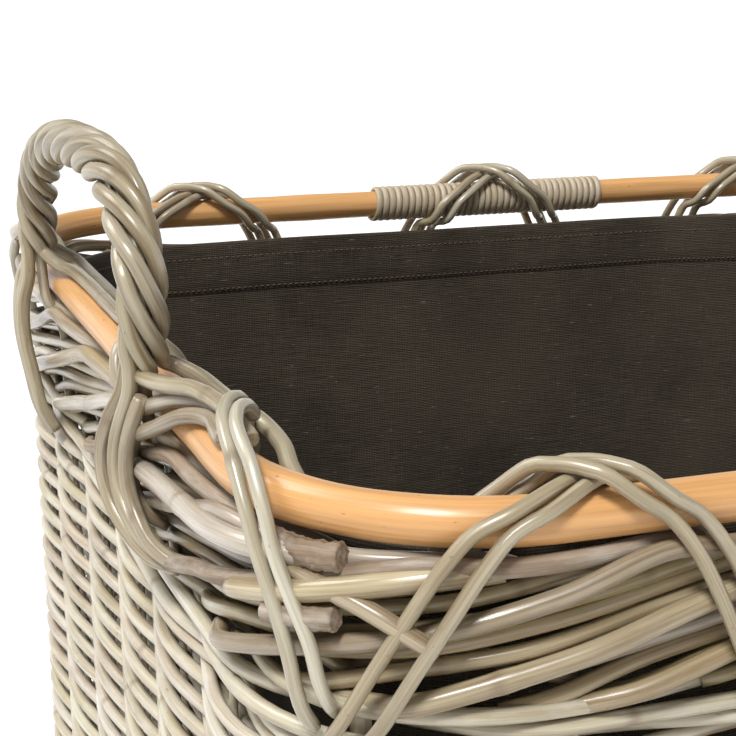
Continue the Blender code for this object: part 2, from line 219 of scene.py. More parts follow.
def tone_over(tree, kind, pattern, low, high, most, below, above):
    """One colour laid over another where a pattern is strong. Each is fixed or another node's."""
    blend = tree.nodes.new("ShaderNodeMix")
    blend.data_type = "RGBA"
    blend.blend_type = kind
    tree.links.new(between(tree, pattern, low, high, 0.0, most), blend.inputs["Factor"])
    for socket, value in ((blend.inputs[6], below), (blend.inputs[7], above)):
        if isinstance(value, tuple):
            socket.default_value = (*value, 1)
        else:
            tree.links.new(value, socket)
    return blend.outputs[2]


def roughen(tree, surface, layers):
    """Raised fibre or yarn: bumps of (height, strength, depth), laid one over another."""
    below = None
    for height, strength, depth in layers:
        bump = tree.nodes.new("ShaderNodeBump")
        bump.inputs["Strength"].default_value = strength
        bump.inputs["Distance"].default_value = depth
        tree.links.new(height, bump.inputs["Height"])
        if below:
            tree.links.new(below, bump.inputs["Normal"])
        below = bump.outputs[0]
    tree.links.new(below, surface.inputs["Normal"])


def cane_finish(name, colours, wash=0.25, streak=0.35, gloss=0.4, coat=0.2, speck=0.5,
                fibre=1.0, rings=0.45):
    """Cane: a tone for each strand, lengthwise fibre, thin whitewash, brown knuckles and specks."""
    finish = bpy.data.materials.new(name)
    finish.use_nodes = True
    tree = finish.node_tree
    nodes = tree.nodes
    link = tree.links.new
    surface = nodes["Principled BSDF"]
    surface.inputs["Roughness"].default_value = gloss
    surface.inputs["Coat Weight"].default_value = coat
    surface.inputs["Coat Roughness"].default_value = 0.21
    surface.inputs["Specular IOR Level"].default_value = 0.45

    grain = nodes.new("ShaderNodeAttribute")
    grain.attribute_name = "grain"
    tone = nodes.new("ShaderNodeAttribute")
    tone.attribute_name = "tint"

    strand_tone = nodes.new("ShaderNodeValToRGB")
    ramp = strand_tone.color_ramp
    ramp.elements[0].color = (*colours[0], 1)
    ramp.elements[1].color = (*colours[-1], 1)
    for k in range(1, len(colours) - 1):
        stop = ramp.elements.new(k / (len(colours) - 1))
        stop.color = (*colours[k], 1)
    link(tone.outputs["Fac"], strand_tone.inputs["Fac"])

    def stretched_noise(along, across, detail, rough=0.55):
        stretch = nodes.new("ShaderNodeVectorMath")
        stretch.operation = "MULTIPLY"
        stretch.inputs[1].default_value = (along, across, across)
        link(grain.outputs["Vector"], stretch.inputs[0])
        cloud = nodes.new("ShaderNodeTexNoise")
        cloud.inputs["Scale"].default_value = 1.0
        cloud.inputs["Detail"].default_value = detail
        cloud.inputs["Roughness"].default_value = rough
        link(stretch.outputs[0], cloud.inputs["Vector"])
        return cloud.outputs["Fac"]

    broad = stretched_noise(14, 420, 3)
    fine = stretched_noise(9, 1050, 4, 0.7)
    colour = tone_over(tree, "MULTIPLY", broad, 0.38, 0.68, streak * 1.3,
                       strand_tone.outputs["Color"], (0.52, 0.43, 0.33))
    colour = tone_over(tree, "MULTIPLY", fine, 0.50, 0.72, streak, colour, (0.46, 0.36, 0.26))
    patches = stretched_noise(35, 160, 4, 0.65)
    colour = tone_over(tree, "MIX", patches, 0.46, 0.70, wash, colour, (0.62, 0.59, 0.52))

    split = nodes.new("ShaderNodeSeparateXYZ")
    link(grain.outputs["Vector"], split.inputs[0])
    wobble = nodes.new("ShaderNodeMath")
    wobble.operation = "MULTIPLY_ADD"
    wobble.inputs[1].default_value = 0.003
    link(broad, wobble.inputs[0])
    link(split.outputs["X"], wobble.inputs[2])
    turn = nodes.new("ShaderNodeMath")
    turn.operation = "PINGPONG"
    turn.inputs[1].default_value = KNUCKLE_EVERY / 2
    link(wobble.outputs[0], turn.inputs[0])
    knuckle = between(tree, turn.outputs[0], KNUCKLE_EVERY / 2 - 0.0034, KNUCKLE_EVERY / 2 - 0.0006)
    colour = tone_over(tree, "MIX", knuckle, 0.0, 1.0, rings, colour, (0.16, 0.105, 0.06))

    specks = stretched_noise(260, 700, 1)
    colour = tone_over(tree, "MIX", specks, 0.74, 0.79, speck, colour, (0.11, 0.07, 0.04))
    link(colour, surface.inputs["Base Color"])

    link(between(tree, broad, 0.3, 0.75, gloss - 0.06, gloss + 0.16), surface.inputs["Roughness"])
    roughen(tree, surface, ((fine, 0.26 * fibre, 0.0004), (broad, 0.5, 0.0006)))
    return finish


KUBU_WALL = [(0.40, 0.34, 0.24), (0.50, 0.45, 0.34), (0.43, 0.38, 0.25), (0.56, 0.52, 0.43),
             (0.46, 0.38, 0.28), (0.52, 0.49, 0.37), (0.42, 0.35, 0.27), (0.57, 0.54, 0.47)]
wall_finish = cane_finish("whitewashed_kubu", KUBU_WALL, wash=0.45, streak=0.50, gloss=0.36, coat=0.3)

FLOOR_CANE = 0.0024
FLOOR_MIDDLE = 0.009
STICK_APART = 0.050
STOUT_EVERY = 0.150
dice = random.Random(11)
floor_weave = new_bundle()
for k in range(9):
    y = (k - 4) * STICK_APART
    if k % 3 == 1:
        continue
    reach = RIM_HALF_LENGTH - WALL_LEAN - 0.012
    if abs(y) > SHORT_RUN / 2:
        reach -= CORNER_RADIUS - math.sqrt(CORNER_RADIUS**2 - (abs(y) - SHORT_RUN / 2) ** 2)
    route = [Vector((x * reach / 10, y, FLOOR_MIDDLE)) for x in range(-10, 11)]
    lay_cane(floor_weave, route, FLOOR_CANE, sides=8, tint=dice.random(), seed=dice.uniform(0, 9),
             knuckles=False)
FLOOR_ROWS = 94
ROW_APART = 0.0057
for row in range(FLOOR_ROWS):
    x = (row - (FLOOR_ROWS - 1) / 2) * ROW_APART
    reach = RIM_HALF_DEPTH - WALL_LEAN - 0.010
    if abs(x) > LONG_RUN / 2:
        inside = (CORNER_RADIUS - 0.004) ** 2 - (abs(x) - LONG_RUN / 2) ** 2
        reach -= CORNER_RADIUS - math.sqrt(max(0, inside))
    route = []
    count = 40
    for k in range(count + 1):
        y = reach * (2 * k / count - 1)
        wave = math.cos(math.pi * y / STICK_APART) * (-1) ** row
        stout = 0.0022 * (1 + math.cos(2 * math.pi * y / STOUT_EVERY)) / 2
        route.append(Vector((x, y, FLOOR_MIDDLE + wave * (0.0047 + stout * 0.9))))
    lay_cane(floor_weave, route, FLOOR_CANE, sides=7, tint=dice.random(), seed=dice.uniform(0, 9),
             knuckles=False)
tie_off(floor_weave, "floor_cane", wall_finish, "basket", ["base_weave"])

# ---------------------------------------------------------------------------
# The woven wall
# Thin stakes and four stout corner posts stand in the floor. Kubu weavers about 5 mm thick go
# before one stake and behind the next, thicker ones form the wales at the foot and the top.
# ---------------------------------------------------------------------------
STAKE_RADIUS = 0.0015
STAKE_FOOT = 0.012
WEAVER_RADIUS = 0.00262
FOOT_WALE_RADIUS = 0.0029
TOP_WALE_RADIUS = 0.00275
SIDING_FROM = 0.030
SIDING_TO = 0.306
WALE_TO = 0.3295
POST_RADIUS = 0.0035

posts = [(LONG_RUN + CORNER_ARC) / 2]
posts.append(posts[0] + SHORT_RUN + CORNER_ARC)
posts += [posts[0] + ROUND / 2, posts[1] + ROUND / 2]
stake_places = []
for k, spaces in enumerate((7, 8, 7, 8)):
    gap = ((posts + [posts[0] + ROUND])[k + 1] - posts[k]) / spaces
    stake_places += [posts[k] + gap * j for j in range(spaces)]
STAKES = len(stake_places)
stake_places.append(stake_places[0] + ROUND)
handle_feet = []
CORE_APART = 0.209
for middle in (MIDDLE_LEFT + 0.006, MIDDLE_RIGHT - 0.006):
    handle_feet += [middle - CORE_APART / 2, middle + CORE_APART / 2]


def bulge(k):
    """How far a weaver stands out from the wall's middle where it passes stake k."""
    k = k % STAKES
    if any(abs(stake_places[k] - p) < 0.001 for p in posts):
        return POST_RADIUS + WEAVER_RADIUS + 0.0001
    if any(abs(stake_places[k] - p) < 0.012 for p in handle_feet):
        return 0.0052
    return 0.0042


def weave_row(bundle, number, z, radius, before, rng, pieces=2, steps=8, sides=8, extra=0.0):
    """One row of weaving round the basket. before(k) is 1 where it passes outside stake k, or -1."""
    behind = [k for k in range(STAKES) if before(k + number) < 0]
    starts = sorted(rng.sample(behind, pieces))
    for a, b in zip(starts, starts[1:] + [starts[0] + STAKES]):
        route = []
        seed = rng.uniform(0, 9)
        for k in range(a, b):
            s0 = stake_places[k % STAKES]
            s1 = stake_places[k % STAKES + 1]
            n0 = before(k + number) * (bulge(k) + extra)
            n1 = before(k + 1 + number) * (bulge(k + 1) + extra)
            for j in range(steps):
                t = j / steps
                if k == a and j == 0:
                    t = 0.02
                s = s0 + (s1 - s0) * t
                mixed = (1 - math.cos(math.pi * t)) / 2
                drift = 0.0005 * noise.noise(Vector((s * 9, number * 1.7, 0)))
                n = n0 + (n1 - n0) * mixed + lean(z)
                route.append(place(s, n, z + drift))
        k = b % STAKES
        n = before(b + number) * (bulge(b) + extra) + lean(z)
        route.append(place(stake_places[k] - 0.0012, n, z))
        lay_cane(bundle, route, radius, sides=sides, tint=rng.random(), seed=seed, knuckles=False)


def one_and_one(k):
    """Plain weave: before one stake, behind the next."""
    return 1 if k % 2 else -1


def two_and_one(k):
    """Waling: before two stakes, behind one."""
    return -1 if k % 3 == 0 else 1


dice = random.Random(23)
stakes = new_bundle()
for k in range(STAKES):
    if any(abs(stake_places[k] - p) < 0.001 for p in posts):
        continue
    s = stake_places[k]
    route = [place(s, lean(z), z) for z in [STAKE_FOOT + 0.0157 * j for j in range(21)]]
    lay_cane(stakes, route, STAKE_RADIUS, sides=8, tint=dice.random(), seed=dice.uniform(0, 9),
             knuckles=False)
tie_off(stakes, "wall_stakes", wall_finish, "basket", [])

foot = new_bundle()
for row in range(5):
    weave_row(foot, row, 0.0031 + row * 0.0060, FOOT_WALE_RADIUS, two_and_one, dice, extra=0.0004)
tie_off(foot, "foot_wale_cane", wall_finish, "basket", ["foot_wale"])

SIDING_ROWS = 50
pitch = (SIDING_TO - SIDING_FROM) / SIDING_ROWS
lower = new_bundle()
upper = new_bundle()
for row in range(SIDING_ROWS):
    half = lower if row < SIDING_ROWS // 2 else upper
    z = SIDING_FROM + pitch * (row + 0.5)
    weave_row(half, row, z, WEAVER_RADIUS, one_and_one, dice, sides=9)
tie_off(lower, "siding_cane_low", wall_finish, "basket", ["siding"])
tie_off(upper, "siding_cane_high", wall_finish, "basket", ["siding"])

wale = new_bundle()
for row in range(4):
    z = SIDING_TO + (WALE_TO - SIDING_TO) * (row + 0.5) / 4
    weave_row(wale, row, z, TOP_WALE_RADIUS, two_and_one, dice, extra=0.0003, sides=10)
tie_off(wale, "top_wale_cane", wall_finish, "basket", ["top_wale"])

# ---------------------------------------------------------------------------
# The plaited border
# The stakes' thick tops, turned down to the right and laid over each other on a slant, about
# 7 mm thick, with two layers of thinner rods behind them that fill the border up to the pole.
# A few still have their bark on, and some end in a plain cut.
# ---------------------------------------------------------------------------
KUBU_BORDER = [(0.40, 0.32, 0.19), (0.38, 0.33, 0.27), (0.32, 0.25, 0.13), (0.47, 0.40, 0.25),
               (0.22, 0.165, 0.11), (0.41, 0.33, 0.19), (0.36, 0.30, 0.15), (0.48, 0.43, 0.36)]
border_finish = cane_finish("polished_kubu", KUBU_BORDER, wash=0.12, streak=0.70, gloss=0.30, coat=0.5)
BARK = [(0.22, 0.16, 0.11), (0.33, 0.26, 0.19), (0.27, 0.20, 0.14)]
bark_finish = cane_finish("rough_bark_kubu", BARK, wash=0.35, streak=0.8, gloss=0.6, coat=0.0, fibre=2.6)

BORDER_LOW = 0.3262
BORDER_HIGH = 0.3733
BACK_LOWER = 0.24
BARK_RODS = (18, 20, 26)
CORNER_LEFT = MIDDLE_LEFT + SHORT_RUN / 2
# Real darker cane tones, kept to the inner rods under the pole so that they paint the shade of the recess
# behind the border.
RECESS_SHADE_TINTS = (0.28, 0.30, 0.57, 0.60, 0.80)
MIDDLE_TINTS = (0.0, 0.14, 0.28, 0.43, 0.71, 0.86)


def border_place(s, n, z):
    """A point of the border, packed right up under the pole but a little lower at the back."""
    off = abs((s % ROUND) - MIDDLE_BACK)
    drop = min(1, max(0, (LONG_RUN / 2 + 0.050 - off) / 0.070))
    return place(s, n, BORDER_LOW + (z - BORDER_LOW) * (1 - BACK_LOWER * drop))


def rough(points, start, dice, aside, up):
    """The border's points from a stake, each pushed a little aside and up or down."""
    route = []
    for s, n, z in points:
        route.append(border_place(start + s, n + dice.uniform(-aside, aside), z + dice.uniform(-up, up)))
    return route


dice = random.Random(5)
courses = [new_bundle(), new_bundle(), new_bundle()]
barky = new_bundle()
for k in range(STAKES):
    start = stake_places[k]
    radius = dice.uniform(0.0028, 0.0037)
    run = dice.uniform(0.245, 0.270)
    points = [(-0.006, 0.0010, BORDER_LOW), (0.006, 0.0045, 0.3283), (0.022, 0.0080, 0.3326)]
    for share in (0.25, 0.38, 0.51):
        points.append((run * share, 0.0088, 0.3275 + (BORDER_HIGH - 0.3275) * share / 0.64))
    for share, n in ((0.64, 0.0082), (0.74, 0.0066), (0.84, 0.0042), (0.93, 0.0012)):
        points.append((run * share, n, BORDER_HIGH))
    if k % 9 != 4:
        points += [(run, -0.0030, 0.3712), (run + 0.014, -0.0060, 0.3672)]
    route = rough(points, start, dice, 0.0005, 0.0008)
    into = barky if k in BARK_RODS else courses[k % 3]
    lay_cane(into, smooth_route(route, 0.004), radius, sides=14, tint=dice.random(),
             seed=dice.uniform(0, 9))
for k in range(STAKES * 2):
    start = stake_places[k // 2] + 0.034 * (k % 2) + 0.012
    run = dice.uniform(0.19, 0.23)
    points = [(-0.004, -0.0006, BORDER_LOW + 0.0005), (0.012, 0.0018, 0.3300)]
    for share in (0.2, 0.4, 0.6, 0.8, 1.0):
        points.append((run * share, 0.0024, 0.3310 + 0.0390 * share))
    route = rough(points, start, dice, 0.0003, 0.0006)
    lay_cane(courses[k % 3], smooth_route(route, 0.005), dice.uniform(0.0024, 0.0029), sides=12,
             tint=dice.choice(MIDDLE_TINTS), seed=dice.uniform(0, 9))
# The innermost layer, inside under the pole, takes only the darker tones: painted shade for the recess.
for k in range(STAKES * 2):
    start = stake_places[k // 2] + 0.034 * (k % 2) + 0.020
    route = [(0, 0.3715), (0.030, 0.3640), (0.060, 0.3530), (0.090, 0.3420), (0.118, 0.3322)]
    if k % 2:
        route = [(s, 0.3715 + 0.3322 - z) for s, z in route]
    depth = -0.0034 - 0.0053 * (k % 2) + dice.uniform(-0.0002, 0.0002)
    route = [border_place(start + s, depth, z) for s, z in route]
    lay_cane(courses[k % 3], smooth_route(route, 0.006), dice.uniform(0.0023, 0.0027), sides=10,
             tint=dice.choice(RECESS_SHADE_TINTS), seed=dice.uniform(0, 9))
# Three thick rods cross at the front left corner, and two stubs there keep their bark.
for radius, tint, points in (
    (0.0038, 1.0, [(-0.116, 0.0095, 0.3572), (-0.095, 0.0125, 0.3592), (-0.045, 0.0125, 0.3648),
                   (0.010, 0.0120, 0.3700), (0.035, 0.0110, 0.3716), (0.055, 0.0060, 0.3726)]),
    (0.0036, 0.42, [(0.020, 0.0110, 0.3545), (0.042, 0.0125, 0.3610), (0.063, 0.0125, 0.3672),
                    (0.082, 0.0100, 0.3712), (0.098, 0.0050, 0.3728)]),
    (0.0030, 0.05, [(0.030, 0.0080, 0.3690), (0.055, 0.0120, 0.3655), (0.068, 0.0140, 0.3612),
                    (0.077, 0.0146, 0.3560), (0.084, 0.0125, 0.3500)]),
):
    route = [place(CORNER_LEFT + s, n, z) for s, n, z in points]
    lay_cane(courses[0], smooth_route(route, 0.003), radius, sides=16, tint=tint,
             seed=CORNER_LEFT + radius * 100)
for radius, points in (
    (0.0044, [(0.030, 0.0055, 0.3722), (0.044, 0.0080, 0.3728), (0.052, 0.0092, 0.3738),
              (0.0590, 0.0098, 0.3745)]),
    (0.0036, [(0.036, 0.0120, 0.3532), (0.048, 0.0135, 0.3550), (0.0590, 0.0140, 0.3572)]),
):
    route = [place(CORNER_LEFT + s, n, z) for s, n, z in points]
    lay_cane(barky, smooth_route(route, 0.0008), radius, sides=36, tint=dice.random(),
             seed=dice.uniform(0, 9), gnarl=0.14)
for number, course in enumerate(courses):
    tie_off(course, "border_rods_%d" % (number + 1), border_finish, "basket",
            ["border_course_%d" % (number + 1)])
tie_off(barky, "border_bark_rods", bark_finish, "basket", [])

# ---------------------------------------------------------------------------
# The rim pole
# One natural rattan pole, 15 mm thick, bent round the top. It is peeled and varnished, honey
# coloured, with fine lengthwise fibre. Its ends meet under the cane binding at the back.
# ---------------------------------------------------------------------------
POLE_RADIUS = 0.0075
HONEY = [(0.66, 0.36, 0.14), (0.60, 0.31, 0.11)]
POLE_STEPS = 344
JOINT_GAP = 0.0004
pole_finish = cane_finish("honey_pole", HONEY, wash=0.0, streak=0.30, gloss=0.36, coat=0.35,
                          speck=0.6, rings=0.0)
pole = new_bundle()
route = []
for k in range(POLE_STEPS + 1):
    s = MIDDLE_BACK + JOINT_GAP / 2 + (ROUND - JOINT_GAP) * k / POLE_STEPS
    route.append(place(s, 0, RIM_HEIGHT))
lay_cane(pole, route, POLE_RADIUS, sides=28, tint=0.3, seed=0.11, facing=Vector((0, 0, 1)),
         knuckles=False)
tie_off(pole, "pole", pole_finish, "basket", ["rim_pole"])

# ---------------------------------------------------------------------------
# The splice binding
# Split cane wound tight round the pole's joint at the middle of the back, flat side in.
# ---------------------------------------------------------------------------
BINDING_HALF = 0.075
SPLIT = [(0.44, 0.36, 0.25), (0.52, 0.45, 0.33)]
split_finish = cane_finish("split_cane", SPLIT, wash=0.2, streak=0.45, gloss=0.5, coat=0.05)
TURNS = 37
TURN_STEPS = 20
binding = new_bundle()
spread = 2 * BINDING_HALF / TURNS
route = []
reach = POLE_RADIUS + 0.0015
for k in range(TURNS * TURN_STEPS - TURN_STEPS + 1):
    angle = 2 * math.pi * k / TURN_STEPS
    s = MIDDLE_BACK - BINDING_HALF + spread * (0.5 + k / TURN_STEPS)
    route.append(place(s, reach * math.cos(angle), RIM_HEIGHT + reach * math.sin(angle)))


def away_from_pole(point):
    """The way out from the pole's middle line, where the pole runs straight along the back."""
    return Vector((0, point.y - RIM_HALF_DEPTH, point.z - RIM_HEIGHT))


lay_cane(binding, route, spread * 0.49, sides=8, tint=0.4, seed=0.3, flat=0.62, facing=away_from_pole,
         knuckles=False)
tie_off(binding, "splice_cane", split_finish, "basket", ["splice_binding"])

# ---------------------------------------------------------------------------
# The crossed loops over the pole
# Strands of kubu, 4.6 mm thick, come out of the wall, cross over the pole two and two, and are
# tucked in behind the border. They hold the pole on: three loops at the front, three at the back.
# ---------------------------------------------------------------------------
LOOP_RADIUS = 0.0023
BINDING_RADIUS = 0.0105
HAIR = 0.0003
KUBU_LOOP = [(0.36, 0.30, 0.19), (0.42, 0.37, 0.26), (0.31, 0.25, 0.16), (0.47, 0.43, 0.34)]
loop_finish = cane_finish("loop_kubu", KUBU_LOOP, wash=0.20, streak=0.7, gloss=0.32, coat=0.4)


def loop_route(middle, pair, clear):
    """One strand of a crossed loop: pair 1 leans one way and lies under, pair -1 the other way."""
    low = clear + HAIR + LOOP_RADIUS + 0.0006
    points = [(-0.065, 0.0112, -0.0680), (-0.059, 0.0146, -0.0580), (-0.052, 0.0153, -0.0430),
              (-0.042, 0.0153, -0.0220), (-0.035, 0.0134, -0.0090)]
    for angle in (0, 30, 60, 75, 90, 105, 120, 150, 180):
        lift = 0
        if pair < 0:
            lift = (2 * LOOP_RADIUS + HAIR) * min(1, max(0, (78 - abs(angle - 90)) / 44))
        turn = math.radians(angle)
        far = low + lift
        points.append((0.028 * (angle - 90) / 90, far * math.cos(turn), far * math.sin(turn)))
    points.append((0.034, -0.78 * low, -0.72 * low))
    points.append((0.039, -0.0030, -0.0114 - (clear - POLE_RADIUS) * 0.4))
    points.append((0.043, -0.0020, -0.0200))
    route = []
    for s, n, z in points:
        route.append(place(middle + pair * s, n, RIM_HEIGHT + z))
    return smooth_route(route, 0.003)


dice = random.Random(31)
for side, centre, apart in (("front", 0.0, 0.200), ("back", MIDDLE_BACK, 0.178)):
    for number in (1, 2, 3):
        middle = centre + (number - 2) * apart
        clear = BINDING_RADIUS if side == "back" and number == 2 else POLE_RADIUS
        for pair, letter in ((1, "a"), (-1, "b")):
            for strand, shift in ((1, -0.005), (2, 0.005)):
                name = "%s_%d_%s%d" % (side, number, letter, strand)
                loop = new_bundle()
                lay_cane(loop, loop_route(middle + shift, pair, clear), LOOP_RADIUS, sides=14,
                         tint=dice.random(), seed=dice.uniform(0, 9))
                tie_off(loop, "cane_loop_" + name, loop_finish, "basket", ["loop_" + name])

# ---------------------------------------------------------------------------
# The corner straps
# Two pale glossy strands of kubu side by side at each corner. They go over the pole and down
# into the wall. At two corners they also go over the handle strands that lie on the pole.
# ---------------------------------------------------------------------------
KUBU_PALE = [(0.40, 0.36, 0.26), (0.52, 0.49, 0.39)]
strap_finish = cane_finish("pale_kubu", KUBU_PALE, wash=0.25, streak=0.5, gloss=0.24, coat=0.6)
for name, start, way, lift in (
    ("front_left", MIDDLE_LEFT + SHORT_RUN / 2, 1, True),
    ("front_right", MIDDLE_RIGHT - SHORT_RUN / 2, -1, False),
    ("back_right", MIDDLE_RIGHT + SHORT_RUN / 2, 1, True),
    ("back_left", MIDDLE_LEFT - SHORT_RUN / 2, -1, False),
):
    strap = new_bundle()
    for strand, drop in ((0, 1.0), (1, 0.9)):
        if lift:
            points = [(-0.024, -0.0030, -0.0116), (-0.020, -0.0088, -0.0068),
                      (-0.0175, -0.0108, 0.0000), (-0.0155, -0.0096, 0.0056),
                      (-0.0125, -0.0072, 0.0112), (-0.0100, -0.0062, 0.0165),
                      (-0.0070, -0.0032, 0.0202), (-0.0020, 0.0014, 0.0210),
                      (0.0050, 0.0054, 0.0188), (0.0125, 0.0080, 0.0156),
                      (0.0198, 0.0102, 0.0112), (0.0255, 0.0120, 0.0045), (0.0300, 0.0133, -0.0023)]
            if strand:
                points = [(-0.0105, -0.0066, 0.0150)] + points[5:]
        else:
            low = POLE_RADIUS + HAIR + LOOP_RADIUS + 0.0004
            points = [(-0.024, -0.0030, -0.0116), (-0.020, -0.0084, -0.0072)]
            for angle in range(180, -1, -20):
                turn = math.radians(angle)
                along = -0.016 + 0.043 * (1 - angle / 180) ** 2
                points.append((along, low * math.cos(turn), low * math.sin(turn)))
        points += [(0.0350, 0.0148, -0.0120), (0.0405, 0.0160, -0.0230), (0.0460, 0.0160, -0.0400 * drop),
                   (0.0485, 0.0157, -0.0520 * drop), (0.0498, 0.0142, -0.0590 * drop),
                   (0.0508, 0.0100, -0.0655 * drop)]
        route = []
        for s, n, z in points:
            bow = 0.0035 * strand * math.exp(-((z + 0.012) / 0.02) ** 2) if name == "back_left" else 0
            beside = strand * (0.0064 + 0.0036 * min(1, max(0, z + 0.010) / 0.03))
            route.append(place(start + way * (s + beside), n + bow, RIM_HEIGHT + z))
        lay_cane(strap, smooth_route(route, 0.003), LOOP_RADIUS, sides=14, tint=strand,
                 seed=0.4 + strand * 0.2 + start)
    tie_off(strap, "cane_strap_" + name, strap_finish, "basket", ["strap_" + name])

# ---------------------------------------------------------------------------
# The twisted handles
# A core rod is bent over each end of the basket and plugged in the border. Five strands are
# twisted round it. Below the twist three run down outside the border and two lie along the
# pole. At one foot of each handle four more short strands wrap and fill the bundle.
# ---------------------------------------------------------------------------
CORE_RADIUS = 0.0024
TWIST_RADIUS = 0.0062
ROPE_STRAND = 0.0030
WRAP_RADIUS = 0.0028
TWIST_STEPS = 17
TWIST_EASE = 0.20
HANDLE_LEAN = 0.06
HANDLE_FOOT = 0.107
KUBU_HANDLE = [(0.33, 0.27, 0.18), (0.40, 0.35, 0.26), (0.36, 0.31, 0.20), (0.30, 0.24, 0.16),
               (0.41, 0.37, 0.30)]
handle_finish = cane_finish("handle_kubu", KUBU_HANDLE, wash=0.18, streak=0.75, gloss=0.33, coat=0.4)
ARCH = [(0.1085, 0.0150), (0.1125, 0.0250), (0.1165, 0.0380), (0.1170, 0.0500), (0.1100, 0.0620),
        (0.0985, 0.0715), (0.0835, 0.0775), (0.0625, 0.0805), (0.0325, 0.0805), (-0.0035, 0.0785),
        (-0.0365, 0.0735), (-0.0665, 0.0640), (-0.0860, 0.0530), (-0.1010, 0.0385), (-0.1065, 0.0250),
        (-0.1085, 0.0150)]
DOWN = {
    0.5: [(0.0040, 0.0178, 0.0060), (-0.0010, 0.0200, -0.0050), (-0.0060, 0.0212, -0.0160),
          (-0.0070, 0.0210, -0.0270), (-0.0010, 0.0195, -0.0370), (0.0090, 0.0160, -0.0450),
          (0.0180, 0.0100, -0.0500), (0.0230, 0.0030, -0.0520)],
    -0.5: [(-0.0028, 0.0185, 0.0060), (-0.0080, 0.0222, -0.0050), (-0.0130, 0.0244, -0.0160),
           (-0.0130, 0.0246, -0.0270), (-0.0070, 0.0228, -0.0375), (0.0030, 0.0188, -0.0460),
           (0.0130, 0.0130, -0.0520), (0.0185, 0.0050, -0.0545)],
    -1.5: [(-0.0092, 0.0165, 0.0050), (-0.0120, 0.0190, -0.0060), (-0.0140, 0.0182, -0.0170),
           (-0.0120, 0.0174, -0.0280), (-0.0050, 0.0162, -0.0380), (0.0050, 0.0150, -0.0460),
           (0.0120, 0.0110, -0.0530), (0.0150, 0.0040, -0.0565)],
}
CORE_FOOT = [(0.1040, 0.0, -0.0700), (0.1045, 0.0018, -0.0450), (0.1050, 0.0024, -0.0230),
             (0.1056, 0.0062, -0.0140), (0.1060, 0.0098, -0.0070), (HANDLE_FOOT, 0.0112, 0.0040)]


def handle_line(front):
    """The twist's middle line as (s, n, z over the pole). Its top leans to the basket's front."""
    shape = ARCH if front > 0 else [(-s, z) for s, z in reversed(ARCH)]
    return smooth_route([(s, 0.0110 + HANDLE_LEAN * z, z) for s, z in shape], 0.0022)


def strand_end(foot, role):
    """A strand below the twist. Roles up to 0.5 go down the border, 1.5 and 2.5 along the pole."""
    if role == 1.5 and foot > 0:
        points = [(0.0040, 0.0140, 0.0125), (0.0140, 0.0122, 0.0126), (0.0270, 0.0090, 0.0142),
                  (0.0400, 0.0045, 0.0160), (0.0540, 0.0012, 0.0160), (0.0680, -0.0006, 0.0153),
                  (0.0790, -0.0012, 0.0138), (0.0880, -0.0012, 0.0116)]
    elif role == 1.5:
        points = [(0.0150, 0.0056, 0.0110), (0.0300, 0.0020, 0.0112)]
        points += [(0.0300 + 0.030 * k, 0.0008, 0.0112) for k in range(1, 5)]
        points += [(0.1590, 0.0088, 0.0068), (0.1640, 0.0110, 0.0), (0.1680, 0.0092, -0.0068),
                   (0.1715, 0.0030, -0.0118)]
    elif role == 2.5 and foot > 0:
        points = [(0.0040, 0.0000, 0.0142), (0.0160, -0.0050, 0.0125), (0.0330, -0.0072, 0.0114),
                  (0.0510, -0.0088, 0.0108), (0.0590, -0.0125, 0.0092), (0.0670, -0.0141, 0.0078),
                  (0.0770, -0.0142, 0.0070), (0.0850, -0.0136, 0.0058), (0.0930, -0.0118, 0.0030),
                  (0.1000, -0.0112, -0.0010), (0.1060, -0.0100, -0.0060), (0.1090, -0.0060, -0.0110)]
    elif role == 2.5:
        points = [(0.0040, -0.0034, 0.0114), (0.0160, -0.0054, 0.0097), (0.0350, -0.0054, 0.0097)]
        points += [(0.035 + 0.026 * k, -0.0056, 0.0096) for k in range(1, 6)]
        points += [(0.1750, -0.0092, 0.0062), (0.1810, -0.0110, 0.0002), (0.1860, -0.0092, -0.0066),
                   (0.1900, -0.0030, -0.0118)]
    elif foot > 0:
        points = DOWN[role]
    else:
        beside = 0.0004 + 0.0064 * (role - 0.5)
        points = [(beside + 0.0036 * (role + 0.5), 0.0178 + 0.0006 * role, 0.0050),
                  (beside, 0.0204, -0.0080), (beside + 0.0010, 0.0206, -0.0240),
                  (beside + 0.0040, 0.0176, -0.0430), (beside + 0.0062, 0.0150, -0.0570),
                  (beside + 0.0080, 0.0095, -0.0690 + 0.0015 * role)]
    return [Vector((foot + s, n, z)) for s, n, z in points]


def handle_place(middle, point):
    """A point of the handle, measured from its own middle, in the basket's place."""
    return place(middle + point.x, point.y, RIM_HEIGHT + point.z)


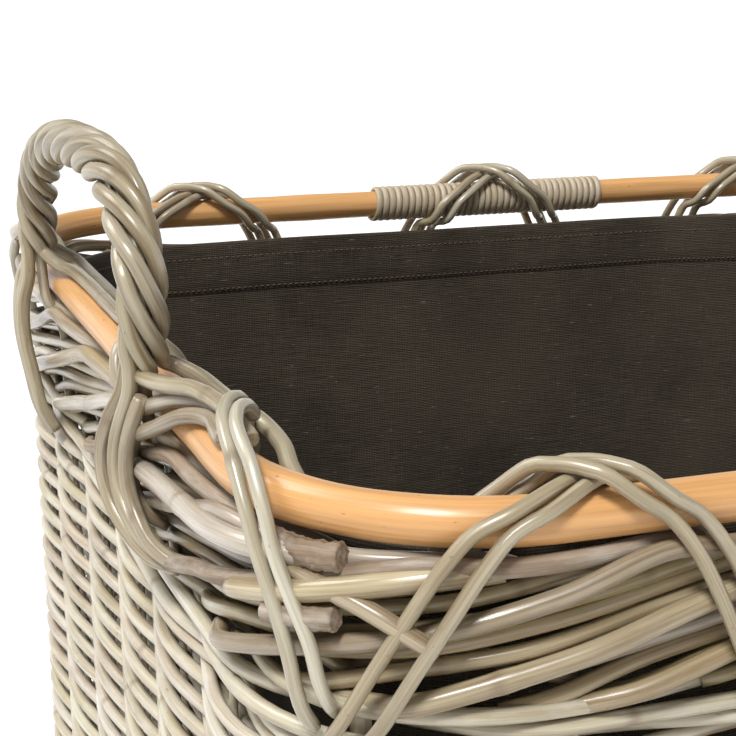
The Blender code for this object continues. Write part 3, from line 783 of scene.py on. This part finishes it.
dice = random.Random(47)
for side, middle, front in (("left", MIDDLE_LEFT + 0.006, 1), ("right", MIDDLE_RIGHT - 0.006, -1)):
    line = handle_line(front)
    core = [Vector(p) for p in CORE_FOOT] + line[6:-6:6]
    core += [Vector((-s, n, z)) for s, n, z in reversed(CORE_FOOT)]
    core_bundle = new_bundle()
    lay_cane(core_bundle, smooth_route([handle_place(middle, p) for p in core], 0.004), CORE_RADIUS,
             sides=12, tint=0.3, seed=2.0)
    tie_off(core_bundle, "handle_core_cane_" + side, handle_finish, "basket",
            ["handle_%s_core" % side])

    lengths = [0.0]
    for a, b in zip(line, line[1:]):
        lengths.append(lengths[-1] + (b - a).length)
    slant = Vector((0.0, 1.0, -HANDLE_LEAN)).normalized()
    for strand in range(5):
        twist = []
        ends = []
        for k, point in enumerate(line):
            tangent = (line[min(k + 1, len(line) - 1)] - line[max(k - 1, 0)]).normalized()
            across = -tangent.cross(slant)
            share = lengths[k] / lengths[-1]
            share += TWIST_EASE * math.sin(2 * math.pi * share) / (2 * math.pi)
            turn = math.radians(36) + 2 * math.pi / 5 * (strand - TWIST_STEPS * share)
            offset = (slant * math.cos(turn) + across * math.sin(turn)) * TWIST_RADIUS
            twist.append(point + offset)
            if k in (0, len(line) - 1):
                ends.append(round(math.degrees(math.atan2(offset.x, offset.y)) / 72 * 2) / 2)
        roles = [end if end > -2.4 else 2.5 for end in ends]
        start = strand_end(HANDLE_FOOT, roles[0])
        finish = strand_end(-HANDLE_FOOT, roles[1])
        points = list(reversed(start)) + twist[1:-1:2] + finish
        rope = new_bundle()
        route = smooth_route([handle_place(middle, p) for p in points], 0.0024)
        lay_cane(rope, route, ROPE_STRAND - dice.uniform(0.0, 0.0002), sides=16, tint=dice.random(),
                 seed=dice.uniform(0, 9))
        tie_off(rope, "handle_cane_%s_%d" % (side, strand + 1), handle_finish, "basket",
                ["handle_%s_strand_%d" % (side, strand + 1)])

    wraps = new_bundle()
    for points in (
        [(0.060, -0.0022, 0.0104), (0.0530, -0.0020, 0.0105), (0.0440, -0.0006, 0.0108),
         (0.0370, 0.0022, 0.0107), (0.0280, 0.0062, 0.0092), (0.0170, 0.0098, 0.0055),
         (0.0060, 0.0122, 0.0010), (-0.0040, 0.0137, -0.0030), (-0.0130, 0.0138, -0.0085),
         (-0.0200, 0.0152, -0.0180), (-0.0210, 0.0154, -0.0290), (-0.0170, 0.0125, -0.0400),
         (-0.0140, 0.0060, -0.0460)],
        [(-0.006, 0.0120, 0.0060), (-0.016, 0.0165, -0.0040), (-0.0215, 0.0205, -0.0150),
         (-0.0215, 0.0215, -0.0260), (-0.0155, 0.0195, -0.0360), (-0.0060, 0.0165, -0.0450),
         (0.0030, 0.0110, -0.0520), (0.0060, 0.0040, -0.0550)],
        [(0.0100, 0.0150, 0.0060), (0.0060, 0.0178, -0.0050), (0.0010, 0.0190, -0.0160),
         (0.0000, 0.0188, -0.0270), (0.0050, 0.0172, -0.0370), (0.0140, 0.0145, -0.0450),
         (0.0220, 0.0090, -0.0500), (0.0260, 0.0030, -0.0520)],
        [(0.078, 0.0045, 0.0097), (0.070, 0.0040, 0.0099), (0.060, 0.0030, 0.0103),
         (0.0510, 0.0048, 0.0097), (0.0420, 0.0082, 0.0074), (0.0300, 0.0110, 0.0022),
         (0.0180, 0.0124, -0.0030),
         (0.0060, 0.0142, -0.0078), (-0.0020, 0.0148, -0.0112), (-0.0075, 0.0150, -0.0170),
         (-0.0088, 0.0152, -0.0250), (-0.0060, 0.0148, -0.0340), (-0.0020, 0.0100, -0.0415),
         (0.0000, 0.0040, -0.0450)],
    ):
        route = [handle_place(middle, Vector((HANDLE_FOOT + s, n, z))) for s, n, z in points]
        lay_cane(wraps, smooth_route(route, 0.0024), WRAP_RADIUS, sides=16, tint=dice.random(),
                 seed=dice.uniform(0, 9))
    tie_off(wraps, "handle_foot_wraps_" + side, handle_finish, "basket", [])

# ---------------------------------------------------------------------------
# The liner
# A loose bag of dark plain-woven cloth: a band sewn round a floor panel, with a folded hem. It
# only stands in the basket and lifts out, so its top edge waves and its sides hang in soft folds.
# ---------------------------------------------------------------------------
LINER_TOP = 0.3695
LINER_FLOOR = 0.0255
CLOTH_THICK = 0.0012


def liner_finish():
    """Dark charcoal cloth: a plain weave of thick and thin yarns, with pale slubs and a faint bloom."""
    finish = bpy.data.materials.new("charcoal_cloth")
    finish.use_nodes = True
    tree = finish.node_tree
    nodes = tree.nodes
    link = tree.links.new
    surface = nodes["Principled BSDF"]
    surface.inputs["Roughness"].default_value = 0.92
    surface.inputs["Specular IOR Level"].default_value = 0.2
    surface.inputs["Sheen Weight"].default_value = 0.08
    surface.inputs["Sheen Roughness"].default_value = 0.5
    cloth = nodes.new("ShaderNodeUVMap")
    cloth.uv_map = "cloth"

    def yarns(direction, other):
        stretch = nodes.new("ShaderNodeMapping")
        stretch.inputs["Scale"].default_value = (direction, other, 1)
        link(cloth.outputs["UV"], stretch.inputs["Vector"])
        cloud = nodes.new("ShaderNodeTexNoise")
        cloud.inputs["Scale"].default_value = 1.0
        cloud.inputs["Detail"].default_value = 3
        link(stretch.outputs[0], cloud.inputs["Vector"])
        return cloud.outputs["Fac"]

    weft = yarns(60, 1300)
    warp = yarns(1300, 60)
    slub = yarns(110, 620)
    worn = yarns(14, 9)
    colour = tone_over(tree, "MIX", weft, 0.35, 0.70, 1.0, (0.033, 0.026, 0.017), (0.076, 0.060, 0.040))
    colour = tone_over(tree, "MIX", warp, 0.45, 0.75, 0.6, colour, (0.082, 0.068, 0.048))
    haze = yarns(4, 6)
    colour = tone_over(tree, "MULTIPLY", worn, 0.40, 0.65, 0.7, colour, (0.50, 0.47, 0.43))
    colour = tone_over(tree, "MIX", haze, 0.42, 0.66, 0.45, colour, (0.108, 0.086, 0.060))
    colour = tone_over(tree, "MIX", slub, 0.665, 0.73, 0.6, colour, (0.19, 0.175, 0.15))
    link(colour, surface.inputs["Base Color"])
    waves = []
    for axis in ("X", "Y"):
        wave = nodes.new("ShaderNodeTexWave")
        wave.wave_type = "BANDS"
        wave.bands_direction = axis
        wave.inputs["Scale"].default_value = 300
        wave.inputs["Distortion"].default_value = 1.2
        wave.inputs["Detail"].default_value = 2
        link(cloth.outputs["UV"], wave.inputs["Vector"])
        waves.append(wave.outputs["Fac"])
    both = nodes.new("ShaderNodeMath")
    both.operation = "ADD"
    link(waves[0], both.inputs[0])
    link(waves[1], both.inputs[1])
    roughen(tree, surface, ((both.outputs[0], 0.6, 0.0004), (weft, 0.5, 0.0005)))
    return finish


def edge_height(s):
    """The liner's top edge, which waves up and down a little round the basket."""
    return LINER_TOP - 0.0008 + 0.0040 * noise.noise(Vector((6.5 * s, 3.1, 0)))


def cloth_place(s, down):
    """A point of the liner's side, a share down from its top edge (0) to its floor (1)."""
    top = edge_height(s)
    z = top + (LINER_FLOOR - top) * down
    n = -0.0186 - 0.0095 * down
    loose = math.sin(math.pi * min(1, down * 1.02))
    turn = 2 * math.pi * s / ROUND
    fold = noise.noise(Vector((5.2 * math.cos(turn), 5.2 * math.sin(turn), z * 3.0)))
    crease = noise.noise(Vector((11 * math.cos(turn), 11 * math.sin(turn), z * 7.0 + 5)))
    n += loose * (0.0030 * fold + 0.0012 * crease) + 0.0022 * noise.noise(Vector((11 * s, 0, 1.5)))
    n -= 0.006 * max(0, down - 0.96) / 0.04
    return place(s, n, z)


def start_cloth(spot):
    """A new piece of cloth: the hoop of its first edge, each point put in place by spot(s)."""
    cloth = bmesh.new()
    where = cloth.verts.layers.float.new("where")
    edge = bmesh.ops.create_circle(cloth, cap_ends=False, radius=1.0, segments=COLUMNS)["verts"]
    for k, v in enumerate(edge):
        v[where] = ROUND * k / COLUMNS
        v.co = spot(v[where])
    return cloth, cloth.edges[:]


def draw_cloth(cloth, hoop, spot):
    """Draws the cloth on from its open hoop to the next one."""
    where = cloth.verts.layers.float["where"]
    grown = bmesh.ops.extrude_edge_only(cloth, edges=hoop)["geom"]
    for v in grown:
        if isinstance(v, bmesh.types.BMVert):
            v.co = spot(v[where])
    return [e for e in grown if isinstance(e, bmesh.types.BMEdge) and len(e.link_faces) == 1]


def sewn_piece(cloth, name, finish, has_floor):
    """Makes the cloth a piece of the liner, with its yarns' own coordinates along and up."""
    bmesh.ops.recalc_face_normals(cloth, faces=cloth.faces)
    where = cloth.verts.layers.float["where"]
    cut = cloth.loops.layers.uv.new("cloth")
    for face in cloth.faces:
        face.smooth = True
        lies_flat = has_floor and abs(face.normal.z) > 0.7
        far = max(loop.vert[where] for loop in face.loops)
        for loop in face.loops:
            s = loop.vert[where]
            if far - s > ROUND / 2:
                s += ROUND
            loop[cut].uv = (loop.vert.co.x, loop.vert.co.y) if lies_flat else (s, loop.vert.co.z)
    return liner_piece(cloth, name, finish)


def liner_piece(shape, name, finish):
    """A finished piece that rides with the liner."""
    mesh = bpy.data.meshes.new(name)
    shape.to_mesh(mesh)
    shape.free()
    mesh.materials.append(finish)
    piece = bpy.data.objects.new(name, mesh)
    bpy.context.scene.collection.objects.link(piece)
    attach(piece, "liner")
    return piece


COLUMNS = 480
cloth_colour = liner_finish()
liner, hoop = start_cloth(lambda s: cloth_place(s, 0.0))
downs = [0.0]
downs += [0.004 + 0.0725 * j / 6 for j in range(7)] + [0.082]
downs += [0.082 + 0.878 * (j + 1) / 44 for j in range(44)] + [0.975, 0.99, 1.0]
for down in downs[1:]:
    hoop = draw_cloth(liner, hoop, lambda s: cloth_place(s, down))


def floor_place(s, share):
    """A point of the floor panel, a share of the way out from its middle."""
    base = cloth_place(s, 1.0)
    dip = 0.0006 * noise.noise(Vector((base.x * share * 20, base.y * share * 20, 0)))
    return Vector((base.x * share, base.y * share, LINER_FLOOR - 0.0003 + dip))


for share in (0.97, 0.90, 0.75, 0.5, 0.25, 0.08):
    hoop = draw_cloth(liner, hoop, lambda s: floor_place(s, share))
bmesh.ops.contextual_create(liner, geom=hoop)
bag = sewn_piece(liner, "liner_bag", cloth_colour, has_floor=True)
thick = bag.modifiers.new("cloth thickness", "SOLIDIFY")
thick.thickness = CLOTH_THICK
thick.offset = 1.0
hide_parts("liner_floor", "liner_side")

# The hem: the top edge folded over to the inside and stitched down twice.


def hem_place(s, step):
    """A point of the folded hem: it starts on the outside, goes over the edge and down the inside."""
    depths = (0.012, 0.004, -0.0010, -0.0022, -0.0022, -0.0010, 0.004, 0.010, 0.018, 0.0255, 0.0270)
    insides = (0.0016, 0.0016, 0.0014, 0.0004, -0.0006, -0.0010, -0.0011, -0.0011, -0.0010, -0.0008,
               -0.0001)
    height = edge_height(s) - LINER_FLOOR
    base = cloth_place(s, max(0, depths[step]) / height)
    out = round_the_rim(s)[1]
    ripple = 0.0003 * math.sin(s * 900) * (1 if step in (7, 8) else 0)
    return base + out * (insides[step] + ripple) + Vector((0, 0, -min(0, depths[step])))


hem, hoop = start_cloth(lambda s: hem_place(s, 0))
for step in range(1, 11):
    hoop = draw_cloth(hem, hoop, lambda s: hem_place(s, step))
fold = sewn_piece(hem, "liner_hem_fold", cloth_colour, has_floor=False)
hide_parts("liner_hem")

# The stitching: two rows of brown thread, a stitch every 3.4 mm, seen from inside and outside.
thread_finish = bpy.data.materials.new("brown_thread")
thread_finish.use_nodes = True
thread_surface = thread_finish.node_tree.nodes["Principled BSDF"]
thread_surface.inputs["Roughness"].default_value = 0.7
ply = thread_finish.node_tree.nodes.new("ShaderNodeTexNoise")
ply.inputs["Scale"].default_value = 900
strands = thread_finish.node_tree.nodes.new("ShaderNodeValToRGB")
strands.color_ramp.elements[0].color = (0.080, 0.056, 0.038, 1)
strands.color_ramp.elements[1].color = (0.15, 0.108, 0.076, 1)
thread_finish.node_tree.links.new(ply.outputs["Fac"], strands.inputs["Fac"])
thread_finish.node_tree.links.new(strands.outputs["Color"], thread_surface.inputs["Base Color"])
stitching = bmesh.new()
STITCH = 0.0034
STITCH_GAP = 0.0010
for depth in (0.0065, 0.0245):
    for side_out in (-0.0012, 0.0016):
        for k in range(int(ROUND / STITCH)):
            s = k * STITCH
            share = depth / (edge_height(s) - LINER_FLOOR)
            ends = []
            for end in (s + STITCH_GAP / 2, s + STITCH - STITCH_GAP / 2):
                ends.append(cloth_place(end, share) + round_the_rim(end)[1] * side_out)
            along = ends[1] - ends[0]
            turned = along.to_track_quat("X", "Z").to_matrix().to_4x4()
            size = Matrix.Diagonal((along.length / 2, 0.00024, 0.00032, 1))
            spot = Matrix.Translation((ends[0] + ends[1]) / 2) @ turned @ size
            bmesh.ops.create_icosphere(stitching, subdivisions=1, radius=1.0, matrix=spot)
stitches = liner_piece(stitching, "liner_stitches", thread_finish)

# ---------------------------------------------------------------------------
# The corner posts and the floor's sticks
# Straight round rods of kubu inside the weave. Their plain solids already have the right shape,
# so they only get the wall's finish.
# ---------------------------------------------------------------------------
for name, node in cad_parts.items():
    if name.startswith("post_") or name.startswith("base_stick"):
        node.data.materials.clear()
        node.data.materials.append(wall_finish)

# ---------------------------------------------------------------------------
# The studio
# A pale floor, white surroundings, one big soft light from the upper left and a weaker one
# behind.
# ---------------------------------------------------------------------------
floor_mesh = bpy.data.meshes.new("studio_floor")
floor_shape = bmesh.new()
bmesh.ops.create_grid(floor_shape, x_segments=1, y_segments=1, size=60)
floor_shape.to_mesh(floor_mesh)
floor_shape.free()
floor = bpy.data.objects.new("studio_floor", floor_mesh)
bpy.context.scene.collection.objects.link(floor)
pale = bpy.data.materials.new("studio_floor")
pale.use_nodes = True
paint = pale.node_tree.nodes["Principled BSDF"]
paint.inputs["Base Color"].default_value = (0.80, 0.80, 0.80, 1)
paint.inputs["Roughness"].default_value = 1.0
paint.inputs["Specular IOR Level"].default_value = 0.0
floor_mesh.materials.append(pale)

world = bpy.data.worlds.new("white_studio")
bpy.context.scene.world = world
world.use_nodes = True
sky = world.node_tree.nodes
way_out = sky.new("ShaderNodeTexCoord")
height = sky.new("ShaderNodeSeparateXYZ")
fade = sky.new("ShaderNodeMapRange")
fade.inputs["From Min"].default_value = 0.08
fade.inputs["From Max"].default_value = 0.40
fade.inputs["To Min"].default_value = 1.0
fade.inputs["To Max"].default_value = 0.20
sky["Background"].inputs["Color"].default_value = (1, 1, 1, 1)
world.node_tree.links.new(way_out.outputs["Generated"], height.inputs[0])
world.node_tree.links.new(height.outputs["Z"], fade.inputs["Value"])
world.node_tree.links.new(fade.outputs["Result"], sky["Background"].inputs["Strength"])
for name, spot, power, spread in (
    ("key", (-0.80, -0.90, 1.8), 3.5, 16),
    ("back", (-1.1, 1.0, 1.5), 1.6, 30),
):
    lamp_data = bpy.data.lights.new(name, "SUN")
    lamp_data.energy = power
    lamp_data.angle = math.radians(spread)
    lamp = bpy.data.objects.new(name, lamp_data)
    lamp.location = spot
    lamp.rotation_euler = (-Vector(spot)).to_track_quat("-Z", "Y").to_euler()
    bpy.context.scene.collection.objects.link(lamp)

camera_data = bpy.data.cameras.new("camera")
camera_data.lens = 85.2
camera_data.sensor_width = 36
camera = bpy.data.objects.new("camera", camera_data)
camera.location = (-RIM_HALF_LENGTH - 0.1365, -RIM_HALF_DEPTH - 0.4245, RIM_HEIGHT + 0.16845)
turned = Matrix.Rotation(math.radians(-19.81), 3, "Z") @ Matrix.Rotation(math.radians(75.2), 3, "X")
camera.rotation_euler = (turned @ Matrix.Rotation(math.radians(0.28), 3, "Z")).to_euler()
bpy.context.scene.collection.objects.link(camera)
bpy.context.scene.camera = camera
bpy.context.scene.view_settings.view_transform = "Standard"
